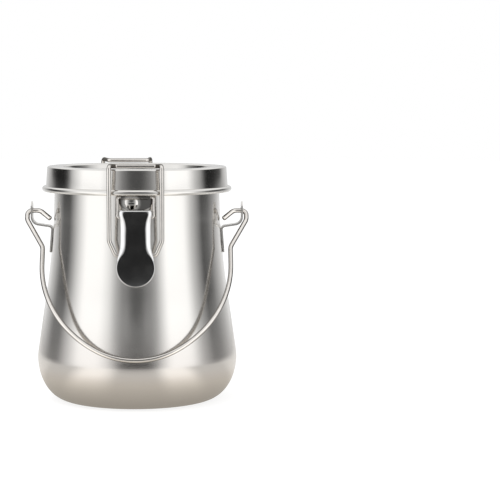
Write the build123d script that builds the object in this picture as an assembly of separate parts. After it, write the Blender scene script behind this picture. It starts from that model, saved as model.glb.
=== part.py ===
from build123d import *
from math import atan2, cos, degrees, hypot, radians, sin, sqrt
import os

# Stainless steel brush washer with a clamped lid and a carrying handle, in millimetres.
# The origin is the middle of the underside, +Z is up, and the front clip faces -Y.
# A cross-section of a spun piece is drawn on the XZ plane, where X is the radius.

# ---- pot -------------------------------------------------------------------
WALL = 0.7
BASE_RADIUS = 42.1
BELLY_RADIUS = 60.1
BELLY_HEIGHT = 26.0
CONE_BOTTOM = (59.7, 30.2)
CONE_TOP = (54.0, 68.7)
NECK_BOTTOM = (50.1, 108.7)
NECK_TOP_RADIUS = 49.2
RIM_BEAD_RADIUS = 1.7
RIM_BEAD_CENTRE = (50.3, 134.1)

# ---- lid -------------------------------------------------------------------
LID_TOP = 140.6
LID_SHOULDER_RADIUS = 53.8
SKIRT_RADIUS = 54.6
DISH_RADIUS = 45.3
DISH_FLOOR_RADIUS = 44.3
DISH_DEPTH = 4.8
LID_CORNER_RADII = (2.0, 1.2, 1.1)
LID_BEAD_RADIUS = 1.7
LID_BEAD_CENTRE = (55.2, 127.2)
GASKET_INNER = 46.5
GASKET_OUTER = 52.6
GASKET_THICKNESS = 3.0
GASKET_ROUNDING = 0.9

# ---- joints between pieces --------------------------------------------------
WELD_GAP = 0.05
FLOOR_GAP = 0.1

# ---- clips, drawn at the front and turned into place ------------------------
FRONT_TURN = 0.0
REAR_TURN = 187.4
PIVOT_Y = -55.9
PIVOT_Z = 113.3
PIVOT_WIRE_RADIUS = 1.0
PIVOT_WIRE_HALF_WIDTH = 10.5
PIVOT_WIRE_TOP = (-51.9, 124.8)
PIVOT_PIN_END = 7.3
HOOK_Y = -56.4
HOOK_Z = 91.7
PIN_CLEARANCE = 0.1

BAIL_WIRE_RADIUS = 1.25
BAIL_PIN_END = 7.2
BAIL_KNEE = (11.6, 15.1, 8.0)
BAIL_SHOULDER_Y = -58.0
BAIL_SHOULDER_Z = 142.8
BAR_HALF_WIDTH = 12.3
BAR_Y = -47.5
BAR_GAP = 0.4

LEVER_FRONT = -58.9
LEVER_SHEET = 1.0
LEVER_SECTIONS = (
    (117.5, 9.15, 6.0),
    (109.7, 8.95, 6.0),
    (102.7, 8.8, 6.0),
    (96.7, 8.9, 5.6),
    (93.7, 9.35, 4.6),
    (90.7, 10.1, 2.4),
    (87.7, 10.3, 1.3),
)
LEVER_CORNER_TURN = 45.0
LEVER_BACK = -56.3
LEVER_LOFT_DEPTH = 6.0
PAD_RADIUS = 11.1
PAD_Z = 84.4
PAD_EDGE = 0.5
PAD_STEP = 0.15
PAD_MARGIN = 0.9
PAD_CREASE_Z = 90.9
LUG_OUTER = 8.5
LUG_RADIUS = 2.4
LUG_SHEET = 1.0

BRACKET_THICKNESS = 1.0
BRACKET_HALF_WIDTH = 10.0
BRACKET_BOTTOM = 117.3
BRACKET_TOP = 125.0
BRACKET_CORNER = 6.0
HEM_HALF_WIDTH = 8.4
HEM_RADIUS = 1.6
HEM_GAP = 0.05
WEB_DEPTH = 4.0
BOSS_CENTRE = (-2.5, 121.2)
BOSS_RADIUS = 9.0
BOSS_HEIGHT = 0.9
BOSS_SPREAD = 3.8

# ---- carrying handle and its ears -------------------------------------------
EAR_SHEET = 1.0
EAR_WIDTH = 9.0
EAR_BOTTOM = 88.7
EAR_BEND = 104.1
EAR_ARM_END = 106.0
EAR_TAB_X = 63.2
EAR_TAB_TOP = 119.2
EAR_BEND_RADIUS = 4.5
WELD_DIMPLE_RADIUS = 3.0
WELD_DIMPLE_DEPTH = 0.3
EAR_WELD_HEIGHTS = (92.2, 99.2)
EAR_HOLE_RADIUS = 2.0
EAR_TOP_FLAT = 0.6
HANDLE_PIVOT_Z = 113.7
HANDLE_WIRE_RADIUS = 1.4
HANDLE_TILT = 36.7
HANDLE_HOOK_END = (51.9, 6.0)
HANDLE_HOOK_TOP = 58.3
HANDLE_SHOULDER_X = 65.8
HANDLE_SHOULDER_DROP = 6.6
HANDLE_HALF_WIDTH = 55.8
HANDLE_KNEE_DROP = 26.0
HANDLE_ARCH_DROP = 38.0
HANDLE_LENGTH = 102.6
HANDLE_BOTTOM_RADIUS = 44.0

# ---- strainer ---------------------------------------------------------------
STRAINER_RADIUS = 46.4
STRAINER_SHEET = 0.8
STRAINER_FLOOR = 20.0
STRAINER_BEAD_RADIUS = 1.0
HOLE_RADIUS = 1.6
HOLE_PITCH = 7.4
HOLE_FIELD_RADIUS = 40.0
LOOP_CLEAR_OF_HOLES = 3.2
STRAINER_FOOT_COUNT = 3
FOOT_WIRE_RADIUS = 1.2
FOOT_HALF_WIDTH = 5.5
FOOT_CIRCLE_RADIUS = 36.0
FOOT_BEND = 2.5
LOOP_WIRE_RADIUS = 1.25
LOOP_HALF_WIDTH = 13.0
LOOP_TOP = 64.0


def spin(face):
    """Turn a cross-section drawn on the XZ plane once round the Z axis."""
    return revolve(face, axis=Axis.Z)


def ring_bead(centre, radius):
    """The rolled bead of a sheet edge, as a ring of round section."""
    return spin(Plane.XZ * Pos(*centre) * Circle(radius))


def rod(y, z, radius, length):
    """A round rod along X, centred at a height and depth."""
    return Pos(0, y, z) * Rot(0, 90, 0) * Cylinder(radius, length)


def both_sides(points):
    """Points of one side of a symmetric wire, then their mirror images."""
    return points + [(-x, y, z) for x, y, z in reversed(points)]


def wire_of(path, radius):
    """A round wire swept along a path of straight runs and arcs."""
    return sweep(Plane(origin=path @ 0, z_dir=path % 0) * Circle(radius), path=path)


def save(solid, node):
    """Write one node as a STEP file and print its volume."""
    export_step(solid, f"parts/{node}.step")
    print(node, "volume", round(solid.volume, 1), "solids", len(solid.solids()))


# ---- pot -------------------------------------------------------------------
def pot_plug(inset, top=RIM_BEAD_CENTRE[1]):
    """The pot's outer form as a full body, drawn in by an inset."""
    base = Vector(BASE_RADIUS, 0, inset)
    belly = Vector(BELLY_RADIUS - inset, 0, BELLY_HEIGHT)
    cone_bottom = Vector(CONE_BOTTOM[0] - inset, 0, CONE_BOTTOM[1])
    cone_top = Vector(CONE_TOP[0] - inset, 0, CONE_TOP[1])
    neck_bottom = Vector(NECK_BOTTOM[0] - inset, 0, NECK_BOTTOM[1])
    neck_top = Vector(NECK_TOP_RADIUS - inset, 0, top)
    corner = Plane.XZ * EllipticalCenterArc(
        (BASE_RADIUS, BELLY_HEIGHT),
        BELLY_RADIUS - inset - BASE_RADIUS,
        BELLY_HEIGHT - inset,
        start_angle=270,
        arc_size=90,
    )
    cone_direction = cone_top - cone_bottom
    outline = [
        Line(Vector(0, 0, inset), base),
        corner,
        TangentArc(cone_bottom, belly, tangent=cone_direction * -1),
        Line(cone_bottom, cone_top),
        TangentArc(cone_top, neck_bottom, tangent=cone_direction),
        Line(neck_bottom, neck_top),
        Line(neck_top, Vector(0, 0, top)),
        Line(Vector(0, 0, top), Vector(0, 0, inset)),
    ]
    return spin(make_face(outline))


def wall_radius(height):
    """The pot's outer radius at a height."""
    ray = Axis((0, 0, height), (1, 0, 0))
    return max(point.X for point, _ in pot_plug(0).find_intersection_points(ray))


def pot_shell():
    """The spun pot: a thin wall with a rolled bead round its mouth."""
    mouth_radius = NECK_TOP_RADIUS - WALL
    above = RIM_BEAD_CENTRE[1] + RIM_BEAD_RADIUS + 1
    bead = ring_bead(RIM_BEAD_CENTRE, RIM_BEAD_RADIUS) - Cylinder(
        mouth_radius, 2 * above
    )
    return pot_plug(0) + bead - pot_plug(WALL)


# ---- lid -------------------------------------------------------------------
def lid_plug(inset):
    """The space under the lid's top surface, drawn in by an inset."""
    floor = LID_TOP - DISH_DEPTH - inset
    hem = LID_BEAD_CENTRE[1]
    dish_corner, rim_corner, shoulder_corner = LID_CORNER_RADII
    outline = FilletPolyline(
        (0, 0, floor),
        (DISH_FLOOR_RADIUS + inset, 0, floor),
        (DISH_RADIUS + inset, 0, LID_TOP - inset),
        (LID_SHOULDER_RADIUS - inset, 0, LID_TOP - inset),
        (SKIRT_RADIUS - inset, 0, hem),
        radius=[dish_corner + inset, rim_corner - inset, shoulder_corner - inset],
    )
    closing = Polyline((SKIRT_RADIUS - inset, 0, hem), (0, 0, hem), (0, 0, floor))
    return spin(make_face([outline, closing]))


def lid_shell():
    """The pressed lid: a sunk dish, a flat rim, a skirt and a rolled bead."""
    bead = ring_bead(LID_BEAD_CENTRE, LID_BEAD_RADIUS)
    return lid_plug(0) - lid_plug(WALL) + bead


def lid_gasket():
    """The soft ring seated in the channel under the lid's flat rim."""
    top = LID_TOP - WALL - WELD_GAP
    middle = ((GASKET_INNER + GASKET_OUTER) / 2, top - GASKET_THICKNESS / 2)
    width = GASKET_OUTER - GASKET_INNER
    section = Pos(*middle) * RectangleRounded(width, GASKET_THICKNESS, GASKET_ROUNDING)
    return spin(Plane.XZ * section)


# ---- clips -----------------------------------------------------------------
def pivot_wire():
    """The staple that carries a lever: a bar in the bracket and two pins."""
    half = PIVOT_WIRE_HALF_WIDTH
    side = [
        (PIVOT_PIN_END, PIVOT_Y, PIVOT_Z),
        (half, PIVOT_Y, PIVOT_Z),
        (half, *PIVOT_WIRE_TOP),
    ]
    bend = 1.5 * PIVOT_WIRE_RADIUS
    return wire_of(FilletPolyline(*both_sides(side), radius=bend), PIVOT_WIRE_RADIUS)


def bracket():
    """The plate welded to the pot, with a pressed boss, hemmed round the staple's bar."""
    y, z = PIVOT_WIRE_TOP
    height = BRACKET_TOP - BRACKET_BOTTOM
    middle = (BRACKET_TOP + BRACKET_BOTTOM) / 2
    outline = Plane.XZ * Pos(0, middle) * Rectangle(2 * BRACKET_HALF_WIDTH, height)
    plate = extrude(outline, amount=BELLY_RADIUS)
    lower = plate.edges().filter_by(Axis.Y).group_by(Axis.Z)[0]
    plate = fillet(lower, BRACKET_CORNER) & pot_plug(-WELD_GAP - BRACKET_THICKNESS)
    across, up = BOSS_CENTRE
    face = wall_radius(up) + WELD_GAP + BRACKET_THICKNESS
    dome = Pos(across, BOSS_RADIUS - face - BOSS_HEIGHT, up) * Sphere(BOSS_RADIUS)
    plate += dome & extrude(Plane.XZ * Pos(across, up) * Circle(BOSS_SPREAD), face + BOSS_RADIUS)
    hem = rod(y, z, HEM_RADIUS, 2 * HEM_HALF_WIDTH)
    web = Pos(0, y + WEB_DEPTH / 2, z - HEM_RADIUS / 2) * Box(
        2 * HEM_HALF_WIDTH, WEB_DEPTH, HEM_RADIUS
    )
    bore = rod(y, z, PIVOT_WIRE_RADIUS + HEM_GAP, 3 * HEM_HALF_WIDTH)
    return plate + hem + web - bore - pot_plug(-WELD_GAP)


def channel_section(half, radius, front):
    """One level section of the lever's neck, with softly turned front corners."""
    back = front + LEVER_LOFT_DEPTH
    turn = LEVER_CORNER_TURN
    middle = half - radius * sin(radians(turn))
    side = front + radius * (1 - cos(radians(turn)))
    edges = [
        Line((middle, front), (-middle, front)),
        CenterArc((-middle, front + radius), radius, 270 - turn, turn),
        Polyline((-half, side), (-half, back), (half, back), (half, side)),
        CenterArc((middle, front + radius), radius, 270, turn),
    ]
    return make_face(edges)


def channel_block(inset):
    """The lever's neck as a full body, drawn in by an inset."""
    sections = []
    for height, half_width, corner in LEVER_SECTIONS:
        radius = max(corner - inset, PAD_EDGE / 4)
        section = channel_section(half_width - inset, radius, LEVER_FRONT + inset)
        sections.append(Pos(0, 0, height) * section)
    return loft(sections)


def lug_block():
    """The two folded lugs that hold the staple's pins and the bail's ends."""
    length = hypot(PIVOT_Z - HOOK_Z, PIVOT_Y - HOOK_Y)
    lean = degrees(atan2(PIVOT_Y - HOOK_Y, PIVOT_Z - HOOK_Z))
    middle = Pos(0, (PIVOT_Y + HOOK_Y) / 2, (PIVOT_Z + HOOK_Z) / 2)
    width = 2 * LUG_OUTER
    strip = Pos(0, -LUG_RADIUS / 2, 0) * Box(width, 3 * LUG_RADIUS, length)
    ends = rod(0, length / 2, LUG_RADIUS, width) + rod(0, -length / 2, LUG_RADIUS, width)
    between = Box(width - 2 * LUG_SHEET, LEVER_LOFT_DEPTH * 3, 2 * length)
    return middle * Rot(-lean, 0, 0) * (strip + ends - between)


def pad():
    """The flat round thumb pad at the lever's free end, with a sunk face."""
    disc = Plane.XZ * Pos(0, PAD_Z) * Circle(PAD_RADIUS)
    plate = extrude(disc, amount=LEVER_SHEET)
    front_edge = plate.edges().group_by(Axis.Y)[0]
    plate = fillet(front_edge, PAD_EDGE)
    return Pos(0, LEVER_FRONT + LEVER_SHEET, 0) * plate


def pad_face():
    """The shallow D-shaped pressing in the pad's front."""
    disc = Pos(0, PAD_Z) * Circle(PAD_RADIUS - PAD_MARGIN)
    above = Pos(0, PAD_CREASE_Z + PAD_RADIUS) * Rectangle(2 * PAD_RADIUS, 2 * PAD_RADIUS)
    pressing = extrude(Plane.XZ * (disc - above), amount=LEVER_SHEET)
    return Pos(0, LEVER_FRONT + PAD_STEP, 0) * pressing


def top_edge():
    """What rounding takes off the upper front edge of the lever's neck."""
    top, half, _ = LEVER_SECTIONS[0]
    corner = Pos(0, LEVER_FRONT, top) * Box(3 * half, 2 * LEVER_SHEET, 2 * LEVER_SHEET)
    return corner - rod(LEVER_FRONT + LEVER_SHEET, top - LEVER_SHEET, LEVER_SHEET, 4 * half)


def lever():
    """The pressed lever: a rounded channel, two lugs and a thumb pad."""
    outer = channel_block(0)
    depth = LEVER_BACK - LEVER_FRONT
    reach = Pos(0, LEVER_BACK - depth, PIVOT_Z) * Box(4 * LUG_OUTER, 2 * depth, PIVOT_Z)
    skin = (outer - channel_block(LEVER_SHEET)) & reach
    body = skin + (lug_block() & outer) + pad() - pad_face() - top_edge()
    body -= rod(PIVOT_Y, PIVOT_Z, PIVOT_WIRE_RADIUS + PIN_CLEARANCE, 4 * LUG_OUTER)
    return body - rod(HOOK_Y, HOOK_Z, BAIL_WIRE_RADIUS + PIN_CLEARANCE, 4 * LUG_OUTER)


def bail():
    """The wire that reaches from the lever's lugs over the lid's rim."""
    knee_x, leg_x, knee_rise = BAIL_KNEE
    bar_z = LID_TOP + BAR_GAP + BAIL_WIRE_RADIUS
    rise = BAIL_SHOULDER_Z - HOOK_Z
    leg_y = HOOK_Y + (BAIL_SHOULDER_Y - HOOK_Y) * knee_rise / rise
    side = [
        (BAIL_PIN_END, HOOK_Y, HOOK_Z),
        (knee_x, HOOK_Y, HOOK_Z),
        (leg_x, leg_y, HOOK_Z + knee_rise),
        (leg_x, BAIL_SHOULDER_Y, BAIL_SHOULDER_Z),
        (BAR_HALF_WIDTH, BAR_Y, bar_z),
    ]
    bends = [2.0, 5.0, 2.2, 2.2]
    path = FilletPolyline(*both_sides(side), radius=bends + bends[::-1])
    return wire_of(path, BAIL_WIRE_RADIUS)


# ---- handle and ears -------------------------------------------------------
def ear():
    """The strap welded to the pot's side, with an arm and an upright tab."""
    reach = WELD_GAP + EAR_SHEET / 2
    path = FilletPolyline(
        (wall_radius(EAR_BOTTOM) + reach, 0, EAR_BOTTOM),
        (wall_radius(EAR_BEND) + reach, 0, EAR_BEND),
        (EAR_TAB_X, 0, EAR_ARM_END),
        (EAR_TAB_X, 0, EAR_TAB_TOP),
        radius=[2.0, EAR_BEND_RADIUS],
    )
    start = Plane(origin=path @ 0, x_dir=(0, 1, 0), z_dir=path % 0)
    strap = sweep(start * Rectangle(EAR_WIDTH, EAR_SHEET), path=path)
    top_edges = strap.edges().filter_by(Axis.X).group_by(Axis.Z)[-1]
    strap = fillet(top_edges, (EAR_WIDTH - EAR_TOP_FLAT) / 2)
    strap -= rod(0, HANDLE_PIVOT_Z, EAR_HOLE_RADIUS, 4 * EAR_TAB_X)
    strap -= pot_plug(-WELD_GAP)
    for height in EAR_WELD_HEIGHTS:
        face = wall_radius(height) + WELD_GAP + EAR_SHEET
        centre = face + WELD_DIMPLE_RADIUS - WELD_DIMPLE_DEPTH
        strap -= Pos(centre, 0, height) * Sphere(WELD_DIMPLE_RADIUS)
    return strap


def handle_path():
    """The handle's centreline: X across, and Y down the handle's own plane."""
    half = HANDLE_HALF_WIDTH
    rise = HANDLE_LENGTH - HANDLE_BOTTOM_RADIUS - HANDLE_ARCH_DROP
    inner = HANDLE_BOTTOM_RADIUS
    side_radius = (half**2 + rise**2 - inner**2) / (2 * (half - inner))
    side_centre = Vector(half - side_radius, HANDLE_ARCH_DROP)
    bottom_centre = Vector(0, HANDLE_LENGTH - inner)
    turn = degrees(atan2(rise, side_radius - half))
    runs = FilletPolyline(
        HANDLE_HOOK_END,
        (HANDLE_HOOK_TOP, 0),
        (HANDLE_SHOULDER_X, 0),
        (HANDLE_SHOULDER_X, HANDLE_SHOULDER_DROP),
        (half, HANDLE_KNEE_DROP),
        (half, HANDLE_ARCH_DROP),
        radius=[5.0, 3.2, 7.0, 8.0],
    )
    side_arc = CenterArc(side_centre, side_radius, 0, turn)
    bottom_arc = CenterArc(bottom_centre, inner, turn, 180 - 2 * turn)
    return Wire(
        runs.edges()
        + side_arc.edges()
        + bottom_arc.edges()
        + mirror(side_arc, Plane.YZ).edges()
        + mirror(runs, Plane.YZ).edges()
    )


def carry_handle():
    """The wire handle, hanging forward until it rests on the belly."""
    tilt = radians(HANDLE_TILT)
    hang = Plane(
        origin=(0, 0, HANDLE_PIVOT_Z),
        x_dir=(1, 0, 0),
        z_dir=(0, cos(tilt), -sin(tilt)),
    )
    return wire_of(hang * handle_path(), HANDLE_WIRE_RADIUS)


# ---- strainer --------------------------------------------------------------
def hole_places():
    """Centres of the strainer's holes, on a triangular grid."""
    row_step = HOLE_PITCH * sqrt(3) / 2
    rows = int(HOLE_FIELD_RADIUS / row_step)
    places = []
    for row in range(-rows, rows + 1):
        shift = HOLE_PITCH / 2 * (row % 2)
        for column in range(-rows, rows + 1):
            x = column * HOLE_PITCH + shift
            y = row * row_step
            from_loop = max(abs(abs(x) - LOOP_HALF_WIDTH), abs(y))
            if hypot(x, y) < HOLE_FIELD_RADIUS and from_loop > LOOP_CLEAR_OF_HOLES:
                places.append((x, y))
    return places


def strainer_plate():
    """The round perforated plate, with a small bead rolled round its edge."""
    middle = STRAINER_FLOOR + STRAINER_SHEET / 2
    bead_centre = (STRAINER_RADIUS - STRAINER_BEAD_RADIUS, middle)
    disc = Pos(0, 0, middle) * Cylinder(bead_centre[0], STRAINER_SHEET)
    holes = [Pos(x, y) * Circle(HOLE_RADIUS) for x, y in hole_places()]
    punch = extrude(Sketch() + holes, amount=2 * STRAINER_FLOOR)
    return disc + ring_bead(bead_centre, STRAINER_BEAD_RADIUS) - punch


def strainer_foot(index):
    """One wire foot under the strainer, bent like a staple."""
    top = STRAINER_FLOOR
    bottom = WALL + FLOOR_GAP + FOOT_WIRE_RADIUS
    path = FilletPolyline(
        (FOOT_HALF_WIDTH, FOOT_CIRCLE_RADIUS, top),
        (FOOT_HALF_WIDTH, FOOT_CIRCLE_RADIUS, bottom),
        (-FOOT_HALF_WIDTH, FOOT_CIRCLE_RADIUS, bottom),
        (-FOOT_HALF_WIDTH, FOOT_CIRCLE_RADIUS, top),
        radius=FOOT_BEND,
    )
    turn = 360 / STRAINER_FOOT_COUNT * index
    return Rot(0, 0, turn) * wire_of(path, FOOT_WIRE_RADIUS)


def strainer_loop():
    """The upright wire loop that lifts the strainer out."""
    bottom = STRAINER_FLOOR + STRAINER_SHEET
    spring = LOOP_TOP - LOOP_WIRE_RADIUS - LOOP_HALF_WIDTH
    side = Line((LOOP_HALF_WIDTH, 0, bottom), (LOOP_HALF_WIDTH, 0, spring))
    crown = ThreePointArc(
        side @ 1, (0, 0, spring + LOOP_HALF_WIDTH), (-LOOP_HALF_WIDTH, 0, spring)
    )
    other = Line(crown @ 1, (-LOOP_HALF_WIDTH, 0, bottom))
    return wire_of(Wire([side, crown, other]), LOOP_WIRE_RADIUS)


def main():
    os.makedirs("parts", exist_ok=True)
    save(pot_shell(), "pot_shell")
    save(lid_shell(), "lid_shell")
    save(lid_gasket(), "lid_gasket")
    clip = {
        "bracket": bracket(),
        "pivot_wire": pivot_wire(),
        "lever": lever(),
        "bail": bail(),
    }
    for place, turn in (("front", FRONT_TURN), ("rear", REAR_TURN)):
        for name, solid in clip.items():
            save(Rot(0, 0, turn) * solid, f"{place}_{name}")
    right_ear = ear()
    save(right_ear, "right_ear")
    save(mirror(right_ear, Plane.YZ), "left_ear")
    save(carry_handle(), "carry_handle")
    save(strainer_plate(), "strainer_plate")
    save(strainer_loop(), "strainer_loop")
    for index in range(STRAINER_FOOT_COUNT):
        save(strainer_foot(index), f"strainer_foot_{index + 1}")


main()
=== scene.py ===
"""A lidded stainless steel brush washer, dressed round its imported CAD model.

Sizes are in metres. The pot's axis is Z, the floor is z = 0 and the front clip faces -Y.
"""

from math import asin, atan2, copysign, cos, degrees, pi, radians, sin, tan

import bpy
from bpy.props import FloatProperty, FloatVectorProperty, IntProperty, PointerProperty
from mathutils import Matrix, Vector


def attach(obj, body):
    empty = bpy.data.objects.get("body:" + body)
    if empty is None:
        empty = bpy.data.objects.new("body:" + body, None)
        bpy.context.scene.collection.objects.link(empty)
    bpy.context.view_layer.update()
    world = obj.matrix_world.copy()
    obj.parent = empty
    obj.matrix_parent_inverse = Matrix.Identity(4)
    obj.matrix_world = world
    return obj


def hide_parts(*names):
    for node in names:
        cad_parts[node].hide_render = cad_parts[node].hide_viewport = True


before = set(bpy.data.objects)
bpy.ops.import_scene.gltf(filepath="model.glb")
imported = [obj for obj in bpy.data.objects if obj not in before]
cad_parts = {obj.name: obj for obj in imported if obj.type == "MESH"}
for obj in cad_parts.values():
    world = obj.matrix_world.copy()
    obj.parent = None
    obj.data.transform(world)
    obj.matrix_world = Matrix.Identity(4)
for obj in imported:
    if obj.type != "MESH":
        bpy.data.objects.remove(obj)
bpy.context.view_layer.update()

bl_info = {
    "name": "Brush washer",
    "version": (1, 0, 0),
    "blender": (4, 5, 0),
    "location": "View3D > Sidebar > Washer",
    "description": "Makes a lidded steel brush washer and the studio round it",
    "category": "Object",
}

WIRE_SIDES = 24
SPUN_SIDES = 256
SHARP_ANGLE = radians(35)
# A point nearer to the axis, or to the point before it, than this counts as on it.
ON_AXIS, SAME_POINT = 0.000001, 0.00001
# The part of a wire's radius by which its cut edge is broken.
BROKEN_EDGE = 0.22
# The heights between which polished steel turns to satin, and how far the haze moves them.
SATIN_START, SATIN_FULL, SATIN_BLUR = 0.062, 0.026, 0.006
# The boss pressed into each bracket: its place across and its height.
BOSS_PLACE = (0.0025, 0.1212)
# The distances from a boss between which its steel turns dark with painted shade, and the
# haze's part in them.
BOSS_SHADE_START, BOSS_SHADE_FULL, BOSS_SHADE_BLUR = 0.0038, 0.0062, 0.001


# ---- settings that a user would change --------------------------------------
def length(name, description, default):
    """A size in metres."""
    return FloatProperty(
        name=name, description=description, default=default, unit="LENGTH", precision=5
    )


def point_at(name, description, default):
    """A point in a plane: its radius or its place along Y, and its height or drop."""
    return FloatVectorProperty(
        name=name, description=description, default=default, size=2, unit="LENGTH"
    )


def colour(name, description, default):
    """A linear colour."""
    return FloatVectorProperty(
        name=name, description=description, default=default, subtype="COLOR", max=1.0
    )


def share(name, description, default):
    """A number from 0 to 1."""
    return FloatProperty(
        name=name,
        description=description,
        default=default,
        min=0.0,
        max=1.0,
        subtype="FACTOR",
    )


def turn(name, description, default):
    """An angle, stored in radians and shown in degrees."""
    return FloatProperty(
        name=name, description=description, default=radians(default), subtype="ANGLE"
    )


class PotSizes(bpy.types.PropertyGroup):
    wall: length("Wall", "Thickness of the spun sheet", 0.0007)
    base_radius: length("Base", "Radius of the flat underside", 0.0421)
    belly: point_at("Belly", "Widest place of the pot", (0.0601, 0.026))
    cone_bottom: point_at("Cone's foot", "Where the cone starts", (0.0597, 0.0302))
    cone_top: point_at("Cone's top", "Where the cone ends", (0.054, 0.0687))
    neck_bottom: point_at("Neck's foot", "Where the neck starts", (0.0501, 0.1087))
    neck_top: point_at("Mouth", "Top of the neck's wall", (0.0492, 0.1341))
    bead: point_at("Mouth bead", "Centre of the rolled bead", (0.0503, 0.1341))
    bead_radius: length("Bead radius", "Radius of the rolled bead", 0.0017)


class LidSizes(bpy.types.PropertyGroup):
    top: length("Top", "Height of the lid's flat rim", 0.1406)
    dish_floor: point_at("Dish floor", "Edge of the sunk dish", (0.0443, 0.1358))
    dish_radius: length("Dish", "Radius of the dish at the rim", 0.0453)
    shoulder: length("Shoulder", "Outer radius of the flat rim", 0.0538)
    skirt: length("Skirt", "Radius of the skirt at its foot", 0.0546)
    bead: point_at("Edge bead", "Centre of the rolled edge", (0.0552, 0.1272))
    bead_radius: length("Bead radius", "Radius of the rolled edge", 0.0017)
    gasket_inner: length("Gasket inside", "Inner radius of the gasket", 0.0465)
    gasket_outer: length("Gasket outside", "Outer radius of the gasket", 0.0526)
    gasket_height: length("Gasket height", "Height of the gasket", 0.003)


class ClipSizes(bpy.types.PropertyGroup):
    rear_turn: turn("Rear clip", "Turn of the rear clip from the front one", 187.4)
    staple_radius: length("Staple wire", "Radius of the staple's wire", 0.001)
    staple_half: length("Staple half width", "Half the staple's width", 0.0105)
    staple_pin: length("Staple pin", "Where the staple's pins end", 0.0073)
    staple_bar: point_at("Staple bar", "Place of the staple's bar", (-0.0519, 0.1248))
    pivot: point_at("Pivot", "Place of the lever's pins", (-0.0559, 0.1133))
    hook: point_at("Hook", "Place of the bail's ends", (-0.0564, 0.0917))
    bail_radius: length("Bail wire", "Radius of the bail's wire", 0.00125)
    bail_pin: length("Bail pin", "Where the bail's ends stop", 0.0072)
    bail_half: length("Bail half width", "Half the width between the legs", 0.0151)
    bail_knee: length("Bail knee", "Half the width at the bail's knees", 0.0116)
    bail_knee_rise: length("Knee rise", "Height of the knees over the hook", 0.008)
    bail_shoulder: point_at("Bail shoulder", "Top of the legs", (-0.058, 0.1428))
    bar: point_at("Bail bar", "Place of the bar on the lid", (-0.0475, 0.14225))
    bar_half: length("Bar half width", "Half the bar's width", 0.0123)


class HandleSizes(bpy.types.PropertyGroup):
    wire_radius: length("Wire", "Radius of the handle's wire", 0.0014)
    pivot_height: length("Pivot", "Height of the holes in the ears", 0.1137)
    tilt: turn("Tilt", "Angle of the hanging handle from upright", 36.7)
    hook_end: point_at("Hook end", "End of the hook in the ear", (0.0519, 0.006))
    hook_top: length("Hook", "Where the hook turns into the ear", 0.0583)
    shoulder: point_at("Shoulder", "Corner outside the ear", (0.0658, 0.0066))
    half_width: length("Half width", "Half the handle's width", 0.0558)
    knee_drop: length("Knee", "Distance from pivot to knee", 0.026)
    arch_drop: length("Arch", "Distance from pivot to the arch", 0.038)
    reach: length("Reach", "Distance from pivot to the arch's foot", 0.1026)
    foot_radius: length("Foot radius", "Radius of the arch's foot", 0.044)


class StrainerSizes(bpy.types.PropertyGroup):
    feet: IntProperty(name="Feet", description="Number of wire feet", default=3)
    foot_radius: length("Foot wire", "Radius of the feet's wire", 0.0012)
    foot_half: length("Foot half width", "Half the width of a foot", 0.0055)
    foot_circle: length("Foot circle", "Distance of the feet from the axis", 0.036)
    foot_top: length("Foot top", "Underside of the plate", 0.02)
    foot_bottom: length("Foot bottom", "Height of a foot's lowest centre line", 0.002)
    loop_radius: length("Loop wire", "Radius of the loop's wire", 0.00125)
    loop_half: length("Loop half width", "Half the loop's width", 0.013)
    loop_foot: length("Loop foot", "Upper face of the plate", 0.0208)
    loop_top: length("Loop top", "Height of the loop", 0.064)


class Finishes(bpy.types.PropertyGroup):
    steel: colour("Steel", "Polished sheet", (0.795, 0.78, 0.755))
    satin: colour("Satin steel", "Softer belly of the pot", (0.74, 0.71, 0.68))
    wire: colour("Wire", "Drawn wire", (0.90, 0.865, 0.825))
    lever: colour("Lever", "Bright pressed steel", (0.80, 0.80, 0.80))
    gasket: colour("Gasket", "Silicone ring", (0.80, 0.80, 0.77))
    neck_gloss: share("Neck roughness", "Roughness of the polished neck", 0.145)
    belly_gloss: share("Belly roughness", "Roughness of the satin belly", 0.215)
    wire_gloss: share("Wire roughness", "Roughness of the wires", 0.10)
    lever_gloss: share("Lever roughness", "Roughness of the levers", 0.08)


class Studio(bpy.types.PropertyGroup):
    lens: FloatProperty(name="Lens", description="Focal length in mm", default=124.56)
    distance: length("Camera distance", "From the axis to the camera", 1.045)
    height: length("Camera height", "From the floor to the camera", 0.1821)
    azimuth: turn("Camera turn", "Turn of the camera round the axis", 1.0)
    pan: turn("Pan", "Turn of the view to the right", 3.741)
    pitch: turn("Pitch", "Tilt of the view, downwards below 0", -5.053)
    roll: turn("Roll", "Roll of the view", 0.172)
    white: colour("Background", "Floor and backdrop", (1.0, 1.0, 1.0))
    ambient: share("Ambient", "Plain light from all round", 0.85)
    lamp_power: FloatProperty(name="Lamp", description="Power of the top lamp", default=7.0)
    wall_radius: length("Wall distance", "Distance of the studio's walls", 0.6)
    wall_height: length("Wall height", "Height of the studio's walls", 1.1)


class WasherSettings(bpy.types.PropertyGroup):
    pot: PointerProperty(type=PotSizes, name="Pot", description="Sizes of the pot")
    lid: PointerProperty(type=LidSizes, name="Lid", description="Sizes of the lid")
    clip: PointerProperty(type=ClipSizes, name="Clips", description="Sizes of the clips")
    handle: PointerProperty(type=HandleSizes, name="Handle", description="Handle sizes")
    strainer: PointerProperty(type=StrainerSizes, name="Strainer", description="Strainer")
    finish: PointerProperty(type=Finishes, name="Finishes", description="Finishes")
    studio: PointerProperty(type=Studio, name="Studio", description="Light and camera")


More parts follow.
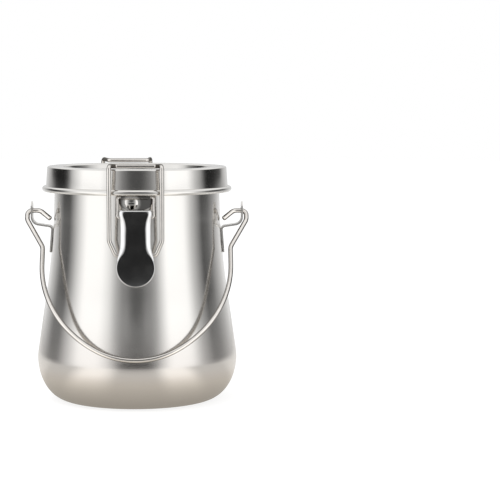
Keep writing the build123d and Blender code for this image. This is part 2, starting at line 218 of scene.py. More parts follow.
# ---- shader nodes ------------------------------------------------------------
class Socket:
    """An output socket on which Python's operators add Math nodes."""

    def __init__(self, graph, socket):
        self.graph = graph
        self.socket = socket

    def math(self, operation, *values):
        return self.graph.add("Math", {"operation": operation}, dict(enumerate(values)))

    def __add__(self, other):
        return self.math("ADD", self, other)

    def __radd__(self, other):
        return self.math("ADD", other, self)

    def __sub__(self, other):
        return self.math("SUBTRACT", self, other)

    def __rsub__(self, other):
        return self.math("SUBTRACT", other, self)

    def __mul__(self, other):
        return self.math("MULTIPLY", self, other)

    def __rmul__(self, other):
        return self.math("MULTIPLY", other, self)

    def __truediv__(self, other):
        return self.math("DIVIDE", self, other)

    def __rtruediv__(self, other):
        return self.math("DIVIDE", other, self)

    def __pow__(self, other):
        return self.math("POWER", self, other)

    def __rpow__(self, other):
        return self.math("POWER", other, self)

    def __neg__(self):
        return self.math("MULTIPLY", self, -1.0)

    def __abs__(self):
        return self.math("ABSOLUTE", self)


class Graph:
    """The nodes of one material or of the world."""

    # A Mix node's colour sockets share their names with others, so they go by number.
    MIX_FIRST, MIX_SECOND, MIX_RESULT = 6, 7, 2

    def __init__(self, owner):
        owner.use_nodes = True
        self.tree = owner.node_tree
        self.tree.nodes.clear()

    def add(self, kind, settings=None, inputs=None, output=0):
        """Add a node: first its settings, then the values or links of its sockets."""
        node = self.tree.nodes.new("ShaderNode" + kind)
        for key, value in (settings or {}).items():
            if key == "stops":
                self.fill(node.color_ramp, value)
            else:
                setattr(node, key, value)
        for key, value in (inputs or {}).items():
            if isinstance(value, Socket):
                self.tree.links.new(value.socket, node.inputs[key])
            else:
                node.inputs[key].default_value = value
        return Socket(self, node.outputs[output]) if node.outputs else None

    def fill(self, ramp, stops):
        """Give a colour ramp its stops, each a place and a grey or a colour."""
        while len(ramp.elements) > 1:
            ramp.elements.remove(ramp.elements[-1])
        for index, (place, shade) in enumerate(stops):
            stop = ramp.elements[0] if index == 0 else ramp.elements.new(place)
            stop.position = place
            grey = isinstance(shade, (int, float))
            stop.color = (shade, shade, shade, 1) if grey else (*shade, 1)

    def point(self):
        """The surface point in the object's own frame."""
        return self.add("TexCoord", output="Object")

    def split(self, vector):
        """The X, Y and Z of a vector."""
        node = self.add("SeparateXYZ", inputs={0: vector}).socket.node
        return [Socket(self, output) for output in node.outputs]

    def vector(self, x, y, z):
        return self.add("CombineXYZ", inputs={0: x, 1: y, 2: z})

    def noise(self, vector, scale, detail=2.0, roughness=0.5):
        look = {"Scale": scale, "Detail": detail, "Roughness": roughness}
        return self.add("TexNoise", inputs={"Vector": vector, **look})

    def between(self, value, start, full):
        """A smooth step from 0 where a value starts to 1 where it is full."""
        values = {"Value": value, "From Min": start, "From Max": full}
        return self.add("MapRange", {"interpolation_type": "SMOOTHSTEP"}, values)

    def mix(self, factor, first, second):
        """A mix of two colours."""
        first, second = (
            c if isinstance(c, Socket) else (*c, 1.0) for c in (first, second)
        )
        values = {"Factor": factor, self.MIX_FIRST: first, self.MIX_SECOND: second}
        return self.add("Mix", {"data_type": "RGBA"}, values, self.MIX_RESULT)

    def bump(self, height, strength, distance):
        values = {"Height": height, "Strength": strength, "Distance": distance}
        return self.add("Bump", inputs=values)

    def ray(self, name):
        """1 for a kind of ray and 0 for the others."""
        return self.add("LightPath", output=name)

    def surface(self, shader):
        self.add("OutputMaterial", inputs={"Surface": shader})

    def metal(self, base, roughness, normal, edge=(1.0, 1.0, 1.0)):
        """A bare metal surface; edge tints what it reflects at a low angle."""
        values = {
            "Base Color": base,
            "Metallic": 1.0,
            "Roughness": roughness,
            "Specular Tint": (*edge, 1.0),
            "Normal": normal,
        }
        self.surface(self.add("BsdfPrincipled", inputs=values))


def new_finish(name):
    """A material and its empty graph."""
    material = bpy.data.materials.new(name)
    return material, Graph(material)


def varied(pattern, amount):
    """A pattern from 0 to 1, as a change of up to half an amount each way."""
    return (pattern - 0.5) * amount


def dimmed(tint, part):
    """A colour at a part of its brightness."""
    return tuple(c * part for c in tint)


def distance(a, b):
    """The length of a step whose two sides are known."""
    return (a * a + b * b) ** 0.5


def spun_steel(name, tint, satin_tint, polished, satin, turning):
    """Steel turned on a lathe: fine rings, a haze and soft rubbing marks.

    The finish goes from polished above the cone to satin at the belly, and turning is
    how strongly the rings show.
    """
    material, graph = new_finish(name)
    point = graph.point()
    x, y, z = graph.split(point)
    angle, out = x.math("ARCTAN2", y, x), distance(x, y)
    # A pattern in which the angle counts for little is drawn out round the axis.
    fine_rings, wide_rings = (graph.vector(angle * part, out, z) for part in (0.02, 0.01))
    rings = graph.noise(fine_rings, scale=2600, detail=3, roughness=0.7)
    broad_rings = graph.noise(wide_rings, scale=330)
    haze = graph.noise(point, scale=38, detail=3, roughness=0.6)
    strokes = graph.vector(angle * 0.35, out * 4, z * 4)
    rubbing = graph.noise(strokes, scale=55, detail=4, roughness=0.65)
    belly = graph.between(z + haze * SATIN_BLUR, SATIN_START, SATIN_FULL)
    worn = graph.between(rubbing, start=0.55, full=0.75)
    roughness = (
        polished
        + belly * (satin - polished)
        + varied(haze, 0.05)
        + varied(broad_rings, 0.05)
        + worn * 0.02
    )
    shade = graph.mix(belly, tint, satin_tint)
    dulled = graph.mix(varied(rings, 0.16) + 0.04, shade, dimmed(tint, 0.86))
    height = rings * 0.6 + broad_rings * 0.4
    graph.metal(dulled, roughness, graph.bump(height, turning, distance=0.00006))
    return material


def pressed_steel(name, tint, roughness, grain, boss=None):
    """Bright pressed sheet: brushed lightly one way, with faint hairlines.

    With the place of a boss, the sheet round it is darkened with painted shade.
    """
    material, graph = new_finish(name)
    point = graph.point()
    x, y, z = graph.split(point)
    # The brushing is drawn out up the sheet.
    hairs = graph.vector(x, y * 0.5, z * 0.06)
    brushed = graph.noise(hairs, scale=3200, detail=3, roughness=0.7)
    haze = graph.noise(point, scale=140, detail=3, roughness=0.6)
    smears = graph.noise(point, scale=62, detail=4, roughness=0.6)
    smudge = graph.between(smears, start=0.5, full=0.72)
    value = roughness + varied(haze, 0.05) + smudge * 0.05 + varied(brushed, 0.04)
    shade = graph.mix(smudge * 0.5, tint, dimmed(tint, 0.9))
    if boss:
        across, height = boss
        # Painted shade: the sheet away from the boss is darkened to a quarter of its tint.
        away = distance(x - y.math("SIGN", y) * across, z - height)
        boss_painted_shade = graph.between(away + varied(haze, BOSS_SHADE_BLUR), BOSS_SHADE_START, BOSS_SHADE_FULL)
        shade = graph.mix(boss_painted_shade, shade, dimmed(tint, 0.25))
    graph.metal(shade, value, graph.bump(brushed, grain, distance=0.00004))
    return material


def drawn_steel(name, tint, roughness):
    """Bright drawn wire with faint die lines, and painted shade where it doesn't face front
    or back and in what it reflects at a low angle.
    """
    material, graph = new_finish(name)
    point = graph.point()
    haze = graph.noise(point, scale=210, detail=3, roughness=0.6)
    die_lines = graph.noise(point, scale=2400, roughness=0.6)
    strokes = graph.noise(point, scale=90, detail=3, roughness=0.6)
    rubbed = graph.between(strokes, start=0.45, full=0.7)
    value = roughness + varied(haze, 0.06) + (1 - rubbed) * 0.04
    _, front, _ = graph.split(graph.add("TexCoord", output="Normal"))
    # Painted shade: darkens the wire where its surface doesn't face front or back, so its
    # edges look dark from the front.
    painted_edge_shade = graph.between(abs(front) + varied(haze, 0.2), start=0.85, full=0.45)
    # Painted shade: this dark tint colours those sides and darkens what the wire reflects
    # at a low angle.
    dark = dimmed(tint, 0.27)
    shade = graph.mix(rubbed, dimmed(tint, 0.93), tint)
    shade = graph.mix(painted_edge_shade * 0.85, shade, dark)
    relief = graph.bump(die_lines, strength=0.10, distance=0.00004)
    graph.metal(shade, value, relief, edge=dark)
    return material


def silicone(name, tint):
    """Soft pale rubber with a matt moulded skin."""
    material, graph = new_finish(name)
    point = graph.point()
    grain = graph.noise(point, scale=1500, detail=3, roughness=0.6)
    cloud = graph.noise(point, scale=60)
    values = {
        "Base Color": graph.mix(cloud, dimmed(tint, 0.95), tint),
        "Roughness": 0.42 + grain * 0.2,
        "Normal": graph.bump(grain, strength=0.25, distance=0.00008),
        "Subsurface Weight": 0.2,
        "Subsurface Scale": 0.002,
    }
    graph.surface(graph.add("BsdfPrincipled", inputs=values))
    return material


# ---- outlines and paths ------------------------------------------------------
def arc(centre, radius, first, last, steps):
    """Points of an arc between two angles in degrees; a pair of radii is an ellipse."""
    wide, high = radius if isinstance(radius, tuple) else (radius, radius)
    angles = (radians(first + (last - first) * i / steps) for i in range(steps + 1))
    return [(centre[0] + wide * cos(a), centre[1] + high * sin(a)) for a in angles]


def from_axis(radius, height, steps=8):
    """Points of a flat run from the axis towards a radius, without its end."""
    return [(radius * i / steps, height) for i in range(steps)]


def straight(start, end, steps):
    """Points of a straight run between two points, without its ends."""
    return [tuple(start.lerp(end, i / steps)) for i in range(1, steps)]


def tangent_arc(start, direction, end, steps):
    """Points of the arc that leaves start along a direction and reaches end."""
    start, end = Vector(start), Vector(end)
    side = Vector((-direction[1], direction[0])).normalized()
    chord = end - start
    radius = chord.length_squared / (2 * chord.dot(side))
    centre = start + side * radius
    first = degrees(atan2(start.y - centre.y, start.x - centre.x))
    swing = degrees(2 * asin(chord.length / 2 / abs(radius))) * copysign(1, radius)
    return arc(centre, abs(radius), first, first + swing, steps)


def rounded(points, radii, steps):
    """The points of a path whose corners are rounded, in two or three dimensions."""
    points = [Vector(p) for p in points]
    path = [points[0]]
    for before, corner, after, radius in zip(points, points[1:], points[2:], radii):
        back, on = (before - corner).normalized(), (after - corner).normalized()
        half = back.angle(on) / 2
        centre = corner + (back + on).normalized() * (radius / sin(half))
        cut = radius / tan(half)
        first = (corner + back * cut - centre).normalized()
        last = (corner + on * cut - centre).normalized()
        swing = first.angle(last)
        for i in range(steps + 1):
            part = i / steps * swing
            blended = first * sin(swing - part) + last * sin(part)
            path.append(centre + blended * (radius / sin(swing)))
    return path + [points[-1]]


def mirrored(path):
    """One side of a wire, from its end to the middle plane, then the other side."""
    return path + [Vector((-p[0], p[1], p[2])) for p in reversed(path)]


# ---- meshes ------------------------------------------------------------------
def new_piece(name, vertices, faces, materials, bands=None):
    """A smooth mesh object at the origin, sharp only at its real edges."""
    mesh = bpy.data.meshes.new(name)
    mesh.from_pydata([tuple(v) for v in vertices], [], faces)
    for material in materials:
        mesh.materials.append(material)
    if bands:
        mesh.polygons.foreach_set("material_index", bands)
    mesh.validate()
    mesh.shade_smooth()
    mesh.set_sharp_from_angle(angle=SHARP_ANGLE)
    piece = bpy.data.objects.new(name, mesh)
    bpy.context.scene.collection.objects.link(piece)
    return piece


def spun(profile, sides=SPUN_SIDES):
    """Vertices, faces and each face's band of a profile turned round the Z axis."""
    vertices, rings, faces, bands = [], [], [], []
    for out, z in profile:
        if out < ON_AXIS:
            rings.append([len(vertices)] * sides)
            vertices.append((0.0, 0.0, z))
            continue
        rings.append(list(range(len(vertices), len(vertices) + sides)))
        for i in range(sides):
            a = 2 * pi * i / sides
            vertices.append((out * cos(a), out * sin(a), z))
    for band, (low, high) in enumerate(zip(rings, rings[1:])):
        for i in range(sides):
            j = (i + 1) % sides
            corners = [low[i], low[j], high[j], high[i]]
            faces.append(list(dict.fromkeys(corners)))
            bands.append(band)
    return vertices, faces, bands


def tube(path, radius, sides=WIRE_SIDES):
    """Vertices and faces of a round wire along a path, its cut edges broken."""
    points = [Vector(path[0])]
    for p in path[1:]:
        if (Vector(p) - points[-1]).length > SAME_POINT:
            points.append(Vector(p))
    ahead = [(b - a).normalized() for a, b in zip(points, points[1:])]
    tangents = [ahead[0]]
    tangents += [(a + b).normalized() for a, b in zip(ahead, ahead[1:])]
    tangents.append(ahead[-1])
    side = tangents[0].orthogonal().normalized()
    chamfer = radius * BROKEN_EDGE
    stations = []
    for index, (point, along) in enumerate(zip(points, tangents)):
        side = (side - along * side.dot(along)).normalized()
        up = along.cross(side)
        if index == 0:
            stations.append((point, side, up, radius - chamfer))
            stations.append((point + along * chamfer, side, up, radius))
        elif index == len(points) - 1:
            stations.append((point - along * chamfer, side, up, radius))
            stations.append((point, side, up, radius - chamfer))
        else:
            stations.append((point, side, up, radius))
    vertices, faces = [], []
    for point, side, up, r in stations:
        for i in range(sides):
            a = 2 * pi * i / sides
            vertices.append(point + side * (r * cos(a)) + up * (r * sin(a)))
    last = (len(stations) - 1) * sides
    for a in range(0, last, sides):
        b = a + sides
        for i in range(sides):
            j = (i + 1) % sides
            faces.append([a + i, a + j, b + j, b + i])
    faces.append(list(reversed(range(sides))))
    faces.append(list(range(last, last + sides)))
    return vertices, faces


def stand_for(piece, node, body):
    """Let a piece ride on a body in the place of a node of the CAD model."""
    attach(piece, body)
    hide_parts(node)


def wire_piece(name, path, radius, material, node, body):
    """A round wire that stands for a node."""
    vertices, faces = tube(path, radius)
    piece = new_piece(name, vertices, faces, [material])
    stand_for(piece, node, body)


def dress(node, material):
    """Give a CAD node its finish."""
    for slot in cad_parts[node].material_slots:
        slot.material = material


# ---- operators ---------------------------------------------------------------
class PotMaker(bpy.types.Operator):
    """Make the spun pot with its rolled mouth"""

    bl_idname = "washer.pot"
    bl_label = "Pot"

    def outline(self, sizes, inset):
        """The wall's outline from the axis to the mouth, drawn in by an inset."""
        shift = Vector((-inset, 0))
        belly, foot, top, neck, mouth = (
            Vector(p) + shift
            for p in (
                sizes.belly,
                sizes.cone_bottom,
                sizes.cone_top,
                sizes.neck_bottom,
                sizes.neck_top,
            )
        )
        slope = top - foot
        corner = arc(
            (sizes.base_radius, belly.y),
            (belly.x - sizes.base_radius, belly.y - inset),
            270,
            360,
            steps=36,
        )
        turn_in = tangent_arc(foot, -slope, belly, steps=8)[::-1]
        flat = from_axis(sizes.base_radius, inset)
        cone = straight(foot, top, steps=20)
        hollow = tangent_arc(top, slope, neck, steps=24)
        throat = straight(neck, mouth, steps=12)
        return flat + corner + turn_in[1:] + cone + hollow + throat

    def execute(self, context):
        sizes = context.scene.washer.pot
        finish = context.scene.washer.finish
        outside = self.outline(sizes, 0.0)
        inside = self.outline(sizes, sizes.wall)
        neck = sizes.neck_top[0] - sizes.bead[0]
        seam = degrees(atan2(-((sizes.bead_radius**2 - neck**2) ** 0.5), neck))
        bead = arc(sizes.bead, sizes.bead_radius, seam, 180, steps=28)
        vertices, faces, bands = spun(outside + bead + inside[::-1])
        inner = len(outside) + len(bead) - 1
        outer_steel = spun_steel(
            "pot_steel",
            tint=finish.steel,
            satin_tint=finish.satin,
            polished=finish.neck_gloss,
            satin=finish.belly_gloss,
            turning=0.16,
        )
        inner_steel = spun_steel(
            "pot_inside",
            tint=finish.satin,
            satin_tint=finish.satin,
            polished=0.3,
            satin=0.36,
            turning=0.3,
        )
        sides = [int(band >= inner) for band in bands]
        piece = new_piece("pot", vertices, faces, [outer_steel, inner_steel], sides)
        stand_for(piece, "pot_shell", "pot")
        return {"FINISHED"}


class LidMaker(bpy.types.Operator):
    """Make the pressed lid and the gasket under it"""

    bl_idname = "washer.lid"
    bl_label = "Lid"

    def outline(self, sizes, inset):
        """The lid's outline from the middle of its dish to its skirt's foot."""
        floor = sizes.dish_floor[1] - inset
        top = sizes.top - inset
        points = [
            (0.0, floor),
            (sizes.dish_floor[0] + inset, floor),
            (sizes.dish_radius + inset, top),
            (sizes.shoulder - inset, top),
            (sizes.skirt - inset, sizes.bead[1]),
        ]
        dish_bend, rim_bend, shoulder_bend = 0.002, 0.0012, 0.0011
        radii = [dish_bend + inset, rim_bend - inset, shoulder_bend - inset]
        path = [tuple(p) for p in rounded(points, radii, steps=12)]
        return from_axis(path[1][0], floor) + path[1:-1]

    def meeting(self, sizes, inset):
        """Where the skirt's wall meets the bead, as an angle round the bead."""
        over = sizes.skirt - inset - sizes.bead[0]
        return degrees(atan2((sizes.bead_radius**2 - over**2) ** 0.5, over))

    def execute(self, context):
        sizes = context.scene.washer.lid
        finish = context.scene.washer.finish
        wall = context.scene.washer.pot.wall
        outside = self.outline(sizes, 0.0)
        inside = self.outline(sizes, wall)
        first, last = self.meeting(sizes, 0.0), self.meeting(sizes, wall) - 360
        bead = arc(sizes.bead, sizes.bead_radius, first, last, steps=32)
        vertices, faces, _ = spun(outside + bead + inside[::-1])
        steel = spun_steel(
            "lid_steel",
            tint=finish.steel,
            satin_tint=finish.steel,
            polished=finish.neck_gloss * 0.8,
            satin=finish.neck_gloss,
            turning=0.12,
        )
        piece = new_piece("lid", vertices, [f[::-1] for f in faces], [steel])
        stand_for(piece, "lid_shell", "lid")
        self.gasket(sizes, wall, finish)
        return {"FINISHED"}

    def gasket(self, sizes, wall, finish):
        """The soft ring, with a shallow groove where the pot's mouth presses it."""
        groove_bed, groove_edge, groove_depth, gap = 0.0009, 0.0015, 0.00015, 0.00005
        groove_bend, corner_bend = 0.0004, 0.0009
        top = sizes.top - wall - gap
        foot = top - sizes.gasket_height
        inner, outer = sizes.gasket_inner, sizes.gasket_outer
        middle = (inner + outer) / 2
        corners = [
            (middle + groove_bed, foot + groove_depth),
            (middle + groove_edge, foot),
            (outer, foot),
            (outer, top),
            (inner, top),
            (inner, foot),
            (middle - groove_edge, foot),
            (middle - groove_bed, foot + groove_depth),
        ]
        radii = [groove_bend, *[corner_bend] * 4, groove_bend]
        path = [tuple(p) for p in rounded(corners, radii, steps=8)]
        vertices, faces, _ = spun([*path, path[0]])
        rubber = silicone("gasket_silicone", finish.gasket)
        piece = new_piece("gasket", vertices, faces, [rubber])
        stand_for(piece, "lid_gasket", "lid")


class ClipMaker(bpy.types.Operator):
    """Make the two clips: bracket, staple, lever and bail"""

    bl_idname = "washer.clips"
    bl_label = "Clips"

    def staple(self, sizes):
        """The staple's centre line, from pin to pin."""
        half, bend = sizes.staple_half, 0.0015
        y, z = sizes.pivot
        side = [(sizes.staple_pin, y, z), (half, y, z), (half, *sizes.staple_bar)]
        return rounded(mirrored(side), [bend] * 4, steps=10)

    def bail(self, sizes):
        """The bail's centre line, from end to end over its bar."""
        y, z = sizes.hook
        rise = sizes.bail_shoulder[1] - z
        lean = (sizes.bail_shoulder[0] - y) * sizes.bail_knee_rise / rise
        side = [
            (sizes.bail_pin, y, z),
            (sizes.bail_knee, y, z),
            (sizes.bail_half, y + lean, z + sizes.bail_knee_rise),
            (sizes.bail_half, *sizes.bail_shoulder),
            (sizes.bar_half, *sizes.bar),
        ]
        bends = [0.002, 0.005, 0.0022, 0.0022]
        return rounded(mirrored(side), bends + bends[::-1], steps=14)

    def execute(self, context):
        sizes = context.scene.washer.clip
        finish = context.scene.washer.finish
        wire = drawn_steel("clip_wire", finish.wire, finish.wire_gloss)
        plate = pressed_steel(
            "bracket_steel", finish.steel, roughness=0.07, grain=0.06, boss=BOSS_PLACE
        )
        pressed = pressed_steel("lever_steel", finish.lever, finish.lever_gloss, grain=0.05)
        for place, angle in (("front", 0.0), ("rear", sizes.rear_turn)):
            about = Matrix.Rotation(angle, 3, "Z")
            staple = [about @ p for p in self.staple(sizes)]
            bail = [about @ p for p in self.bail(sizes)]
            wire_piece(
                f"{place}_clip_staple",
                staple,
                sizes.staple_radius,
                wire,
                f"{place}_pivot_wire",
                "pot",
            )
            wire_piece(
                f"{place}_clip_bail",
                bail,
                sizes.bail_radius,
                wire,
                f"{place}_bail",
                f"{place}_bail",
            )
            dress(f"{place}_bracket", plate)
            dress(f"{place}_lever", pressed)
        return {"FINISHED"}


class HandleMaker(bpy.types.Operator):
    """Make the carrying handle and finish the ears that hold it"""

    bl_idname = "washer.handle"
    bl_label = "Handle"

    def flat_path(self, sizes):
        """Half of the handle's centre line: across, and down its own plane."""
        half, foot = sizes.half_width, sizes.foot_radius
        rise = sizes.reach - foot - sizes.arch_drop
        side = (half**2 + rise**2 - foot**2) / (2 * (half - foot))
        swing = degrees(atan2(rise, side - half))
        corners = [
            sizes.hook_end,
            (sizes.hook_top, 0),
            (sizes.shoulder[0], 0),
            sizes.shoulder,
            (half, sizes.knee_drop),
            (half, sizes.arch_drop),
        ]
        bends = [0.005, 0.0032, 0.007, 0.008]
        runs = rounded(corners, bends, steps=14)
        flank = arc((half - side, sizes.arch_drop), side, 0, swing, steps=24)
        bottom = arc((0, sizes.reach - foot), foot, swing, 90, steps=28)
        return [tuple(p) for p in runs] + flank + bottom

    def execute(self, context):
        sizes = context.scene.washer.handle
        finish = context.scene.washer.finish
        down = Vector((0, -sin(sizes.tilt), -cos(sizes.tilt)))
        pivot = Vector((0, 0, sizes.pivot_height))
        half = [
            pivot + Vector((x, 0, 0)) + down * drop for x, drop in self.flat_path(sizes)
        ]
        wire = drawn_steel("handle_wire", finish.wire, finish.wire_gloss)
        wire_piece(
            "handle", mirrored(half), sizes.wire_radius, wire, "carry_handle", "handle"
        )
        plate = pressed_steel("ear_steel", finish.steel, roughness=0.34, grain=0.12)
        dress("right_ear", plate)
        dress("left_ear", plate)
        return {"FINISHED"}


class StrainerMaker(bpy.types.Operator):
    """Make the strainer's loop and feet and finish its plate"""

    bl_idname = "washer.strainer"
    bl_label = "Strainer"

    def execute(self, context):
        sizes = context.scene.washer.strainer
        finish = context.scene.washer.finish
        wire = drawn_steel("strainer_wire", finish.wire, roughness=0.2)
        spring = sizes.loop_top - sizes.loop_radius - sizes.loop_half
        bow = arc((0, spring), sizes.loop_half, 0, 90, steps=24)
        half = [(x, 0, z) for x, z in [(sizes.loop_half, sizes.loop_foot), *bow]]
        wire_piece(
            "strainer_lifting_loop",
            mirrored(half),
            sizes.loop_radius,
            wire,
            "strainer_loop",
            "strainer",
        )
        for index in range(sizes.feet):
            about = Matrix.Rotation(2 * pi / sizes.feet * index, 3, "Z")
            across, out, bend = sizes.foot_half, sizes.foot_circle, 0.0025
            side = [(across, out, sizes.foot_top), (across, out, sizes.foot_bottom)]
            path = [about @ p for p in rounded(mirrored(side), [bend] * 2, steps=12)]
            wire_piece(
                f"strainer_leg_{index + 1}",
                path,
                sizes.foot_radius,
                wire,
                f"strainer_foot_{index + 1}",
                "strainer",
            )
        plate = pressed_steel("strainer_steel", finish.satin, roughness=0.33, grain=0.2)
        dress("strainer_plate", plate)
        return {"FINISHED"}


class StageMaker(bpy.types.Operator):
    """Make the floor, the studio's walls, the world, the lamp and the camera"""

    bl_idname = "washer.stage"
    bl_label = "Stage"

    # The walls' level by bearing: degrees round the axis from the camera's side towards +X.
    WALL_STOPS = (
        (-180, 0.75),
        (-150, 0.70),
        (-130, 0.37),
        (-116, 0.08),
        (-100, 0.08),
        (-90, 0.42),
        (-80, 0.85),
        (-68, 1.3),
        (-44, 1.3),
        (-33, 0.98),
        (-25, 0.54),
        (-17, 0.32),
        (0, 0.28),
        (16, 0.31),
        (23, 0.46),
        (30, 0.88),
        (38, 1.34),
        (64, 1.28),
        (76, 0.67),
        (86, 0.35),
        (96, 0.07),
        (110, 0.12),
        (128, 0.37),
        (150, 0.7),
        (180, 0.75),
    )
    # A ramp's stops go up to 1, so each level is stored as a part of this one.
    HIGHEST_LEVEL = 2.0
    # Soft patches on the walls: a strength, and then pairs of where a step starts and where
    # it is full, over the height in metres and over the size of the bearing in degrees.
    PATCHES = {
        "low_card": (0.93, [(0.125, 0.085)], [(26, 13)]),
        "camera_card": (0.93, [(0.166, 0.178)], [(24, 4)]),
        "camera_gap": (0.2232, [(0.179, 0.184)], [(24, 4)]),
        "side_card": (0.75, [(0.132, 0.15)], [(84, 96), (140, 124)]),
        "shelf": (0.2, [(0.178, 0.170), (0.158, 0.165)], []),
        "lift": (0.12, [(0.142, 0.130), (0.09, 0.105)], [(26, 13)]),
        "foot": (0.2, [(0.018, 0.0)], [(38, 22)]),
        "side_foot": (0.135, [(0.105, 0.08)], [(78, 92)]),
        "above": (1.0, [(0.26, 0.45)], []),
        "tall_card": (0.75, [(0.8, 0.6)], [(24, 10)]),
    }
    LEVEL_ABOVE = 0.95
    # A dark oval on the wall behind the camera.
    OVAL_HEIGHT, OVAL_HALF_HEIGHT, OVAL_HALF_WIDTH = 0.149, 0.014, 9.5
    OVAL_EDGE, OVAL_STRENGTH = 1.8, 0.85

    # The colour of the floor that the metal sees, by the distance from the axis: a painted
    # shadow, darker and warmer near the pot.
    NEAR_FLOOR = (
        (0.045, (0.38, 0.355, 0.315)),
        (0.060, (0.51, 0.48, 0.43)),
        (0.075, (0.61, 0.575, 0.52)),
        (0.095, (0.64, 0.61, 0.57)),
        (0.125, (0.65, 0.635, 0.61)),
        (0.300, (0.62, 0.615, 0.605)),
    )
    # How the walls light that floor: pairs are the start and the end of a step, over the
    # distance from the axis in metres or the size of the bearing in degrees.
    SHEEN_TURN, SHEEN_LEAST, SHEEN_MIDDLE, SHEEN_GAIN = 1.35, 0.42, 0.36, 1.05
    SHEEN_REACH = (0.045, 0.13)
    SHADE, SHADE_BEARINGS, SHADE_REACH = 0.4, (30, 8), (0.12, 0.25)
    FAR_GAIN, FAR_REACH = 1.6, (0.25, 0.58)
    # The floor's paper: its white for the light, its white and its glow for the camera.
    PAPER_WHITE, PAPER_SEEN, PAPER_GLOW = 0.9, 0.3, 0.82
    FLOOR_RINGS = (0.0, 0.3, 1.2, 4.0)

    LAMP_PLACE, LAMP_AIM, LAMP_SIZE = (-0.5, -0.4, 1.5), (0, 0, 0.05), 1.4

    def bearing(self, x, y):
        """Degrees round the axis from the camera's side towards +X."""
        return x.math("ARCTAN2", x, -y) * degrees(1)

    def wall_level(self, graph, bearing):
        """The brightness of the studio's walls at a bearing."""
        top = self.HIGHEST_LEVEL
        stops = [(place / 360 + 0.5, level / top) for place, level in self.WALL_STOPS]
        ramp = graph.add("ValToRGB", {"stops": stops}, {0: bearing / 360 + 0.5})
        return ramp * top

    def floor(self, studio):
        """A white floor that the metal sees with painted light from the walls and a painted
        shadow, darker and warmer round the pot.
        """
        material, graph = new_finish("floor_paper")
        point = graph.point()
        x, y, _ = graph.split(point)
        away, bearing = distance(x, y), self.bearing(x, y)
        grain = graph.noise(point, scale=900)
        camera, mirror = graph.ray("Is Camera Ray"), graph.ray("Is Glossy Ray")
        white = dimmed(studio.white, self.PAPER_WHITE)
        faint = dimmed(studio.white, self.PAPER_SEEN)
        paper = graph.add(
            "BsdfPrincipled",
            inputs={
                "Base Color": graph.mix(camera, white, faint),
                "Roughness": 0.9,
                "Specular IOR Level": 0.0,
                "Normal": graph.bump(grain, strength=0.05, distance=0.0001),
            },
        )
        glow = graph.add("Emission", inputs={"Color": camera * self.PAPER_GLOW})
        lit = graph.add("AddShader", inputs={0: paper, 1: glow})
        level = self.wall_level(graph, bearing * self.SHEEN_TURN)
        level = level.math("MAXIMUM", level, self.SHEEN_LEAST)
        reach = graph.between(away, *self.SHEEN_REACH)
        sheen = 1 + (level - self.SHEEN_MIDDLE) * reach * self.SHEEN_GAIN
        shade = graph.between(abs(bearing), *self.SHADE_BEARINGS) * self.SHADE
        sheen = sheen * (1 - shade * graph.between(away, *self.SHADE_REACH))
        far = graph.between(away, *self.FAR_REACH)
        light = sheen * (1 - far) + self.wall_level(graph, bearing) * far * self.FAR_GAIN
        # Painted shadow: what the metal sees of the floor is darker and warmer near the
        # pot.
        near = graph.add("ValToRGB", {"stops": self.NEAR_FLOOR}, {0: away})
        shown = graph.add("VectorMath", {"operation": "SCALE"}, {0: near, "Scale": light})
        seen = graph.add("Emission", inputs={"Color": shown})
        graph.surface(graph.add("MixShader", inputs={0: mirror, 1: lit, 2: seen}))
        material.cycles.emission_sampling = "NONE"
        vertices, faces, _ = spun([(r, 0.0) for r in self.FLOOR_RINGS], sides=96)
        plate = new_piece("floor", vertices, [f[::-1] for f in faces], [material])

    def patch(self, graph, height, turned, strength, heights, bearings):
        """One soft patch on the walls, from its row of PATCHES."""
        for start, full in heights:
            strength = strength * graph.between(height, start, full)
        for start, full in bearings:
            strength = strength * graph.between(turned, start, full)
        return strength

    def walls(self, studio):
        """Walls with two soft boxes and dark cards, which only the metal sees."""
        material, graph = new_finish("studio_walls")
        x, y, z = graph.split(graph.point())
        bearing = self.bearing(x, y)
        turned = abs(bearing)
        across = turned / self.OVAL_HALF_WIDTH
        rise = (z - self.OVAL_HEIGHT) / self.OVAL_HALF_HEIGHT
        oval = graph.between(across * across + rise * rise, self.OVAL_EDGE, 0.0)
        patch = {
            name: self.patch(graph, z, turned, *row) for name, row in self.PATCHES.items()
        }
        light = self.wall_level(graph, bearing) * (1 - patch["low_card"])
        light = light * (1 - oval * self.OVAL_STRENGTH) + patch["lift"] + patch["foot"]
        light = light * (1 - patch["camera_card"] + patch["camera_gap"])
        light = light * (1 - patch["side_card"]) * (1 - patch["shelf"])
        light = (light + patch["side_foot"]) * (1 - patch["above"])
        light = light + patch["above"] * (self.LEVEL_ABOVE - patch["tall_card"])
        graph.surface(graph.add("Emission", inputs={"Color": light}))
        material.cycles.emission_sampling = "NONE"
        r, top = studio.wall_radius, studio.wall_height
        vertices, faces, _ = spun([(r, 0.0), (r, top / 2), (r, top)], sides=128)
        shell = new_piece("studio_walls", vertices, faces, [material])
        shell.visible_camera = False
        shell.visible_diffuse = False
        shell.visible_shadow = False
        shell.visible_transmission = False

    def world(self, studio):
        """Plain light from all round, and a white backdrop behind it."""
        world = bpy.data.worlds.new("studio")
        bpy.context.scene.world = world
        graph = Graph(world)
        seen = graph.ray("Is Camera Ray")
        for name in ("Is Glossy Ray", "Is Transmission Ray"):
            seen = seen.math("MAXIMUM", seen, graph.ray(name))
        strength = seen * (1.0 - studio.ambient) + studio.ambient
        background = graph.add(
            "Background", inputs={"Color": (*studio.white, 1.0), "Strength": strength}
        )
        graph.add("OutputWorld", inputs={"Surface": background})

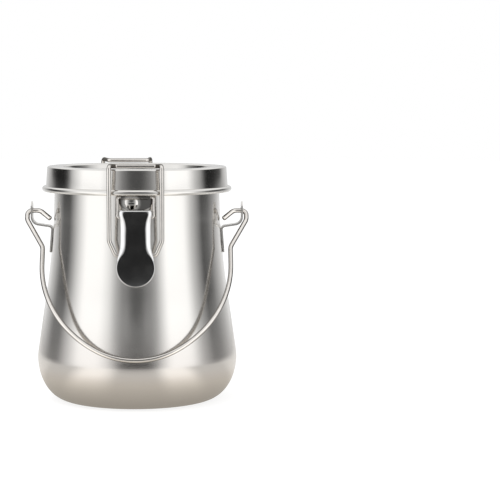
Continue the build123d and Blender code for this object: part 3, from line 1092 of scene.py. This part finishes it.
    def lamp(self, studio):
        """One wide soft lamp over the pot, which doesn't show in the metal."""
        data = bpy.data.lights.new("top_lamp", "AREA")
        data.shape = "DISK"
        data.size = self.LAMP_SIZE
        data.energy = studio.lamp_power
        lamp = bpy.data.objects.new("top_lamp", data)
        lamp.location = self.LAMP_PLACE
        beam = Vector(self.LAMP_AIM) - Vector(self.LAMP_PLACE)
        lamp.rotation_euler = beam.to_track_quat("-Z", "Y").to_euler()
        lamp.visible_glossy = False
        bpy.context.scene.collection.objects.link(lamp)

    def camera(self, studio):
        """The camera, turned, tilted and rolled as the photograph was taken."""
        data = bpy.data.cameras.new("camera")
        data.lens = studio.lens
        data.clip_start, data.clip_end = 0.01, 50
        level = cos(studio.pitch)
        ahead = Vector(
            (sin(studio.pan) * level, cos(studio.pan) * level, sin(studio.pitch))
        )
        right = ahead.cross(Vector((0, 0, 1))).normalized()
        up = right.cross(ahead)
        rolled = right * cos(studio.roll) + up * sin(studio.roll)
        upright = up * cos(studio.roll) - right * sin(studio.roll)
        axes = Matrix((rolled, upright, -ahead)).transposed().to_4x4()
        place = Matrix.Translation((0, -studio.distance, studio.height))
        eye = bpy.data.objects.new("camera", data)
        eye.matrix_world = Matrix.Rotation(studio.azimuth, 4, "Z") @ place @ axes
        bpy.context.scene.collection.objects.link(eye)
        bpy.context.scene.camera = eye

    def execute(self, context):
        studio = context.scene.washer.studio
        self.floor(studio)
        self.walls(studio)
        self.world(studio)
        self.lamp(studio)
        self.camera(studio)
        context.scene.view_settings.view_transform = "Standard"
        return {"FINISHED"}


class WasherPanel(bpy.types.Panel):
    """Lists the makers of the washer's pieces"""

    bl_idname = "VIEW3D_PT_washer"
    bl_label = "Brush washer"
    bl_space_type = "VIEW_3D"
    bl_region_type = "UI"
    bl_category = "Washer"

    def draw(self, context):
        for maker in MAKERS:
            self.layout.operator(maker.bl_idname)
        for group in WasherSettings.__annotations__:
            sizes = getattr(context.scene.washer, group)
            box = self.layout.box()
            for key in type(sizes).__annotations__:
                box.prop(sizes, key)


GROUPS = (
    PotSizes,
    LidSizes,
    ClipSizes,
    HandleSizes,
    StrainerSizes,
    Finishes,
    Studio,
    WasherSettings,
)
MAKERS = (PotMaker, LidMaker, ClipMaker, HandleMaker, StrainerMaker, StageMaker)


def register():
    for kind in (*GROUPS, *MAKERS, WasherPanel):
        bpy.utils.register_class(kind)
    bpy.types.Scene.washer = PointerProperty(type=WasherSettings)


def unregister():
    del bpy.types.Scene.washer
    for kind in reversed((*GROUPS, *MAKERS, WasherPanel)):
        bpy.utils.unregister_class(kind)


def main():
    register()
    for maker in MAKERS:
        group, name = maker.bl_idname.split(".")
        getattr(getattr(bpy.ops, group), name)()


if __name__ == "__main__":
    main()
